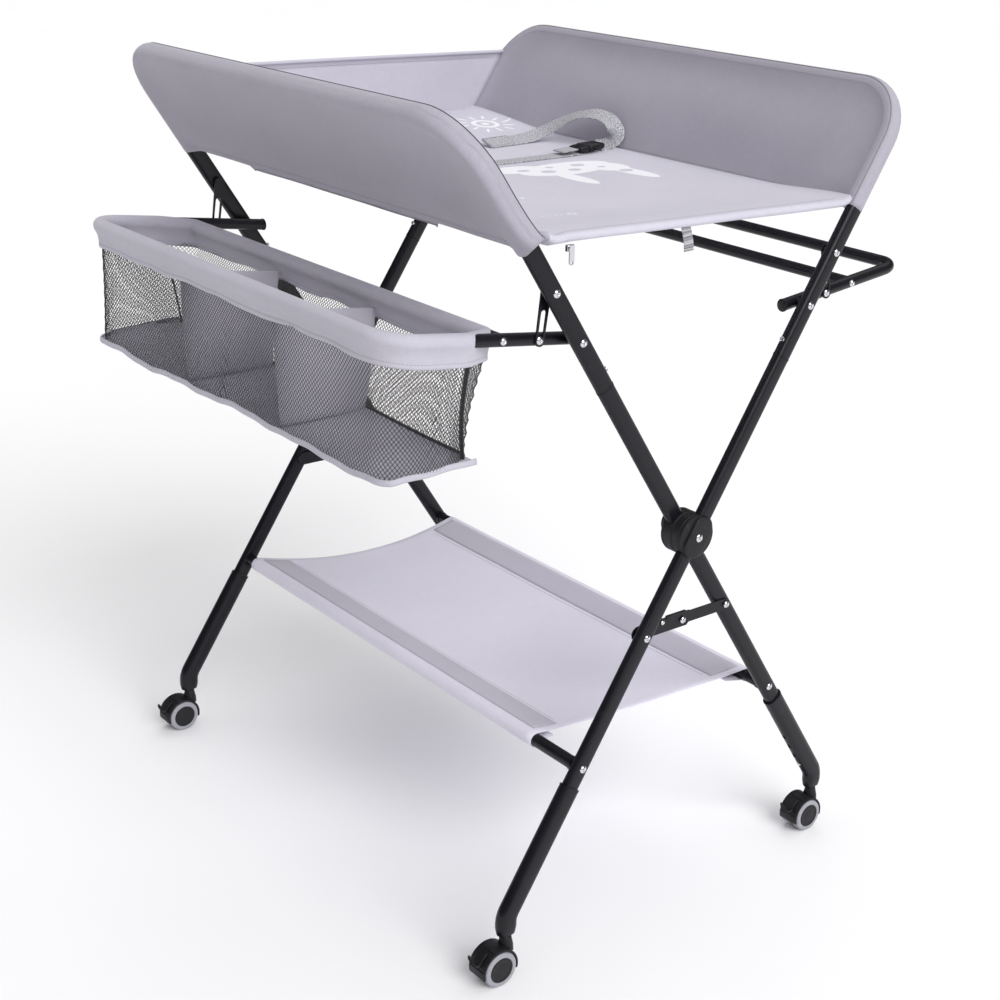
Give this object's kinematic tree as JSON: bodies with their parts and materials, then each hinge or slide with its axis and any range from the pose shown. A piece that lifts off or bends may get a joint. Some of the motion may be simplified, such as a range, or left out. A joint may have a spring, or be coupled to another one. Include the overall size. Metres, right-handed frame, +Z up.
{
  "type": "changing table",
  "caption": "Folding baby changing table: crossed black tube frames, grey cloth bed with raised wings, mesh basket, towel rack, cloth shelf and braked casters.",
  "frame": {"origin": "on the floor, at the middle of the box round the whole object", "axes": "+X along the bed towards the open end, +Z up, +Y towards the towel rack and -Y towards the basket"},
  "size_m": [0.813, 0.7694, 1.0134],
  "materials": {
    "black_enamel": "satin black enamel on steel tube",
    "black_plastic": "moulded, fine matte grain",
    "wheel_grey": "grey tread, satin",
    "bright_steel": "bright plated",
    "lilac_cloth": "woven polyester, lilac grey",
    "black_mesh": "open knitted mesh with cloth bands",
    "grey_webbing": "ribbed webbing"
  },
  "bodies": {
    "frame_a": {"top_tube_a": "black_enamel", "leg_a_near": "black_enamel", "leg_a_far": "black_enamel", "shelf_rod_a": "black_enamel", "wing_a": "lilac_cloth", "hub_a_near": "black_plastic", "hub_a_far": "black_plastic", "bed": "lilac_cloth", "end_panel": "lilac_cloth", "shelf": "lilac_cloth", "belt_strap_long": "grey_webbing", "belt_strap_short": "grey_webbing", "buckle_socket": "black_plastic", "buckle_plug": "black_plastic", "pull_tab": "grey_webbing"},
    "frame_b": {"top_tube_b": "black_enamel", "leg_b_near": "black_enamel", "leg_b_far": "black_enamel", "shelf_rod_b": "black_enamel", "wing_b": "lilac_cloth", "hub_b_near": "black_plastic", "hub_b_far": "black_plastic", "zip_slider": "bright_steel"},
    "zip_pull": {"zip_pull": "bright_steel"},
    "rack": {"rack_rails": "black_enamel"},
    "basket": {"basket_rails": "black_enamel", "basket_bag": "black_mesh"},
    "brace_a_near": {"brace_a_near": "black_enamel"},
    "brace_b_near": {"brace_b_near": "black_enamel"},
    "brace_a_far": {"brace_a_far": "black_enamel"},
    "brace_b_far": {"brace_b_far": "black_enamel"},
    "rack_stay_near": {"rack_stay_near": "black_enamel"},
    "rack_stay_far": {"rack_stay_far": "black_enamel"},
    "basket_stay_near": {"basket_stay_near": "black_enamel"},
    "basket_stay_far": {"basket_stay_far": "black_enamel"},
    "foot_a_near": {"foot_sleeve_a_near": "black_enamel"},
    "caster_a_near": {"caster_hood_a_near": "black_plastic"},
    "wheels_a_near": {"caster_wheels_a_near": "wheel_grey"},
    "brake_a_near": {"brake_pedal_a_near": "black_plastic"},
    "snap_button_a_near": {"snap_button_a_near": "bright_steel"},
    "foot_button_a_near": {"foot_button_a_near": "bright_steel"},
    "foot_a_far": {"foot_sleeve_a_far": "black_enamel"},
    "caster_a_far": {"caster_hood_a_far": "black_plastic"},
    "wheels_a_far": {"caster_wheels_a_far": "wheel_grey"},
    "brake_a_far": {"brake_pedal_a_far": "black_plastic"},
    "snap_button_a_far": {"snap_button_a_far": "bright_steel"},
    "foot_button_a_far": {"foot_button_a_far": "bright_steel"},
    "foot_b_near": {"foot_sleeve_b_near": "black_enamel"},
    "caster_b_near": {"caster_hood_b_near": "black_plastic"},
    "wheels_b_near": {"caster_wheels_b_near": "wheel_grey"},
    "brake_b_near": {"brake_pedal_b_near": "black_plastic"},
    "snap_button_b_near": {"snap_button_b_near": "bright_steel"},
    "foot_button_b_near": {"foot_button_b_near": "bright_steel"},
    "foot_b_far": {"foot_sleeve_b_far": "black_enamel"},
    "caster_b_far": {"caster_hood_b_far": "black_plastic"},
    "wheels_b_far": {"caster_wheels_b_far": "wheel_grey"},
    "brake_b_far": {"brake_pedal_b_far": "black_plastic"},
    "snap_button_b_far": {"snap_button_b_far": "bright_steel"},
    "foot_button_b_far": {"foot_button_b_far": "bright_steel"}
  },
  "joints": [
    {"name": "fold", "type": "hinge", "parent": "frame_a", "child": "frame_b", "pos_m": [0, 0.02382, 0.49573], "axis": [-1, 0, 0], "range_deg": [0, 50], "deforming": ["bed", "shelf", "end_panel", "belt_strap_long", "belt_strap_short", "buckle_socket", "buckle_plug", "pull_tab"]},
    {"name": "brace_a_near_lift", "type": "hinge", "parent": "frame_a", "child": "brace_a_near", "pos_m": [0.38, -0.04916, 0.38335], "axis": [1, 0, 0], "range_deg": [0, 57]},
    {"name": "brace_b_near_lift", "type": "hinge", "parent": "frame_b", "child": "brace_b_near", "pos_m": [0.378, 0.0968, 0.38335], "axis": [-1, 0, 0], "range_deg": [0, 45]},
    {"name": "brace_a_far_lift", "type": "hinge", "parent": "frame_a", "child": "brace_a_far", "pos_m": [-0.38, -0.04916, 0.38335], "axis": [1, 0, 0], "range_deg": [0, 57]},
    {"name": "brace_b_far_lift", "type": "hinge", "parent": "frame_b", "child": "brace_b_far", "pos_m": [-0.378, 0.0968, 0.38335], "axis": [-1, 0, 0], "range_deg": [0, 45]},
    {"name": "rack_fold", "type": "hinge", "parent": "frame_a", "child": "rack", "pos_m": [0, 0.19266, 0.75572], "axis": [1, 0, 0], "range_deg": [0, 36]},
    {"name": "rack_stay_near_swing", "type": "hinge", "parent": "frame_a", "child": "rack_stay_near", "pos_m": [0.379, 0.23187, 0.8161], "axis": [1, 0, 0], "range_deg": [-18, 0.5]},
    {"name": "rack_stay_far_swing", "type": "hinge", "parent": "frame_a", "child": "rack_stay_far", "pos_m": [-0.379, 0.23187, 0.8161], "axis": [1, 0, 0], "range_deg": [-18, 0.5]},
    {"name": "basket_fold", "type": "hinge", "parent": "frame_b", "child": "basket", "pos_m": [0, -0.14502, 0.75572], "axis": [-1, 0, 0], "range_deg": [0, 36]},
    {"name": "basket_stay_near_swing", "type": "hinge", "parent": "frame_b", "child": "basket_stay_near", "pos_m": [0.359, -0.18423, 0.8161], "axis": [-1, 0, 0], "range_deg": [-18, 0.5]},
    {"name": "basket_stay_far_swing", "type": "hinge", "parent": "frame_b", "child": "basket_stay_far", "pos_m": [-0.359, -0.18423, 0.8161], "axis": [-1, 0, 0], "range_deg": [-18, 0.5]},
    {"name": "foot_a_near_extend", "type": "slide", "parent": "frame_a", "child": "foot_a_near", "axis": [0, -0.5446, -0.8387], "range_m": [0, 0.063]},
    {"name": "caster_a_near_swivel", "type": "hinge", "parent": "foot_a_near", "child": "caster_a_near", "pos_m": [0.39, -0.24632, 0.04973], "axis": [0, 0, 1], "continuous": true},
    {"name": "wheels_a_near_spin", "type": "hinge", "parent": "caster_a_near", "child": "wheels_a_near", "pos_m": [0.39, -0.26332, 0.02173], "axis": [1, 0, 0], "continuous": true},
    {"name": "brake_a_near_press", "type": "hinge", "parent": "caster_a_near", "child": "brake_a_near", "pos_m": [0.39, -0.26332, 0.02173], "axis": [1, 0, 0], "range_deg": [0, 18]},
    {"name": "snap_button_a_near_press", "type": "slide", "parent": "frame_a", "child": "snap_button_a_near", "axis": [0, 0.8387, -0.5446], "range_m": [0, 0.0025], "stiffness_N_per_m": 300},
    {"name": "foot_button_a_near_press", "type": "slide", "parent": "frame_a", "child": "foot_button_a_near", "axis": [0, -0.8387, 0.5446], "range_m": [0, 0.0025], "stiffness_N_per_m": 300},
    {"name": "foot_a_far_extend", "type": "slide", "parent": "frame_a", "child": "foot_a_far", "axis": [0, -0.5446, -0.8387], "range_m": [0, 0.063]},
    {"name": "caster_a_far_swivel", "type": "hinge", "parent": "foot_a_far", "child": "caster_a_far", "pos_m": [-0.39, -0.24632, 0.04973], "axis": [0, 0, 1], "continuous": true},
    {"name": "wheels_a_far_spin", "type": "hinge", "parent": "caster_a_far", "child": "wheels_a_far", "pos_m": [-0.39, -0.26332, 0.02173], "axis": [1, 0, 0], "continuous": true},
    {"name": "brake_a_far_press", "type": "hinge", "parent": "caster_a_far", "child": "brake_a_far", "pos_m": [-0.39, -0.26332, 0.02173], "axis": [1, 0, 0], "range_deg": [0, 18]},
    {"name": "snap_button_a_far_press", "type": "slide", "parent": "frame_a", "child": "snap_button_a_far", "axis": [0, 0.8387, -0.5446], "range_m": [0, 0.0025], "stiffness_N_per_m": 300},
    {"name": "foot_button_a_far_press", "type": "slide", "parent": "frame_a", "child": "foot_button_a_far", "axis": [0, -0.8387, 0.5446], "range_m": [0, 0.0025], "stiffness_N_per_m": 300},
    {"name": "foot_b_near_extend", "type": "slide", "parent": "frame_b", "child": "foot_b_near", "axis": [0, 0.5446, -0.8387], "range_m": [0, 0.063]},
    {"name": "caster_b_near_swivel", "type": "hinge", "parent": "foot_b_near", "child": "caster_b_near", "pos_m": [0.37, 0.29396, 0.04973], "axis": [0, 0, 1], "continuous": true},
    {"name": "wheels_b_near_spin", "type": "hinge", "parent": "caster_b_near", "child": "wheels_b_near", "pos_m": [0.37, 0.27696, 0.02173], "axis": [1, 0, 0], "continuous": true},
    {"name": "brake_b_near_press", "type": "hinge", "parent": "caster_b_near", "child": "brake_b_near", "pos_m": [0.37, 0.27696, 0.02173], "axis": [1, 0, 0], "range_deg": [0, 18]},
    {"name": "snap_button_b_near_press", "type": "slide", "parent": "frame_b", "child": "snap_button_b_near", "axis": [0, -0.8387, -0.5446], "range_m": [0, 0.0025], "stiffness_N_per_m": 300},
    {"name": "foot_button_b_near_press", "type": "slide", "parent": "frame_b", "child": "foot_button_b_near", "axis": [0, 0.8387, 0.5446], "range_m": [0, 0.0025], "stiffness_N_per_m": 300},
    {"name": "foot_b_far_extend", "type": "slide", "parent": "frame_b", "child": "foot_b_far", "axis": [0, 0.5446, -0.8387], "range_m": [0, 0.063]},
    {"name": "caster_b_far_swivel", "type": "hinge", "parent": "foot_b_far", "child": "caster_b_far", "pos_m": [-0.37, 0.29396, 0.04973], "axis": [0, 0, 1], "continuous": true},
    {"name": "wheels_b_far_spin", "type": "hinge", "parent": "caster_b_far", "child": "wheels_b_far", "pos_m": [-0.37, 0.27696, 0.02173], "axis": [1, 0, 0], "continuous": true},
    {"name": "brake_b_far_press", "type": "hinge", "parent": "caster_b_far", "child": "brake_b_far", "pos_m": [-0.37, 0.27696, 0.02173], "axis": [1, 0, 0], "range_deg": [0, 18]},
    {"name": "snap_button_b_far_press", "type": "slide", "parent": "frame_b", "child": "snap_button_b_far", "axis": [0, -0.8387, -0.5446], "range_m": [0, 0.0025], "stiffness_N_per_m": 300},
    {"name": "foot_button_b_far_press", "type": "slide", "parent": "frame_b", "child": "foot_button_b_far", "axis": [0, 0.8387, 0.5446], "range_m": [0, 0.0025], "stiffness_N_per_m": 300},
    {"name": "zip_pull_swing", "type": "hinge", "parent": "frame_b", "child": "zip_pull", "pos_m": [0.3971, -0.18218, 0.87263], "axis": [0, -1, 0], "range_deg": [0, 80]}
  ],
  "couplings": [
    {"joint": "brace_a_near_lift", "follows": "fold", "ratio": 1.124},
    {"joint": "brace_b_near_lift", "follows": "fold", "ratio": 0.886},
    {"joint": "brace_a_far_lift", "follows": "fold", "ratio": 1.124},
    {"joint": "brace_b_far_lift", "follows": "fold", "ratio": 0.886},
    {"joint": "rack_stay_near_swing", "follows": "rack_fold", "ratio": -0.483},
    {"joint": "rack_stay_far_swing", "follows": "rack_fold", "ratio": -0.483},
    {"joint": "basket_stay_near_swing", "follows": "basket_fold", "ratio": -0.483},
    {"joint": "basket_stay_far_swing", "follows": "basket_fold", "ratio": -0.483}
  ]
}
